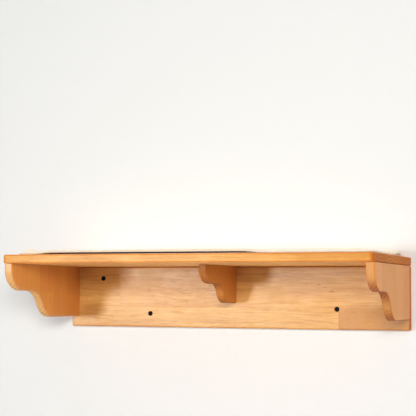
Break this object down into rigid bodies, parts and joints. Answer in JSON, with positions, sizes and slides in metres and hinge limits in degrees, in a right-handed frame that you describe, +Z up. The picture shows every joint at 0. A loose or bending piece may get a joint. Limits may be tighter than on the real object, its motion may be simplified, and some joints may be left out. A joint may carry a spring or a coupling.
{
  "type": "wall-mounted cat perch",
  "caption": "Wooden wall shelf for a cat: a full-length back board, ogee brackets under a round-edged top board, and a lift-off plush mat held by hook-and-loop tape.",
  "frame": {"origin": "centre of the back board's rear face, on the wall", "axes": "+X right along the shelf as seen from the room, +Y into the wall, +Z up"},
  "size_m": [0.6, 0.296, 0.1286],
  "materials": {
    "top_wood": "satin clear lacquer on honey rubberwood",
    "back_wood": "satin clear lacquer on honey rubberwood",
    "bracket_wood": "satin clear lacquer on honey rubberwood",
    "dowel_wood": "bare beech",
    "plush": "cream short-pile plush",
    "hook_tape": "moulded hook tape",
    "loop_tape": "napped loop tape",
    "black_steel": "black phosphate",
    "zinc_steel": "zinc plated",
    "nylon": "moulded"
  },
  "bodies": {
    "shelf": {"top_board": "top_wood", "back_board": "back_wood", "left_bracket": "bracket_wood", "middle_bracket": "bracket_wood", "right_bracket": "bracket_wood", "hook_strip_front": "hook_tape", "hook_strip_rear": "hook_tape", "wall_screw_upper_left": "black_steel", "wall_screw_lower_left": "black_steel", "wall_screw_lower_right": "black_steel", "wall_screw_upper_right": "black_steel", "wall_plug_upper_left": "nylon", "wall_plug_lower_left": "nylon", "wall_plug_lower_right": "nylon", "wall_plug_upper_right": "nylon", "left_bracket_screw_upper": "zinc_steel", "left_bracket_screw_lower": "zinc_steel", "middle_bracket_screw_upper": "zinc_steel", "middle_bracket_screw_lower": "zinc_steel", "right_bracket_screw_upper": "zinc_steel", "right_bracket_screw_lower": "zinc_steel", "back_dowel_1": "dowel_wood", "back_dowel_2": "dowel_wood", "back_dowel_3": "dowel_wood", "back_dowel_4": "dowel_wood", "left_bracket_dowel_rear": "dowel_wood", "left_bracket_dowel_front": "dowel_wood", "middle_bracket_dowel_rear": "dowel_wood", "middle_bracket_dowel_front": "dowel_wood", "right_bracket_dowel_rear": "dowel_wood", "right_bracket_dowel_front": "dowel_wood"},
    "mat": {"mat": "plush", "loop_strip_front": "loop_tape", "loop_strip_rear": "loop_tape"}
  },
  "joints": [
    {"name": "mat_lift", "type": "slide", "parent": "shelf", "child": "mat", "axis": [0, 0, 1], "range_m": [0, 0.06]}
  ]
}
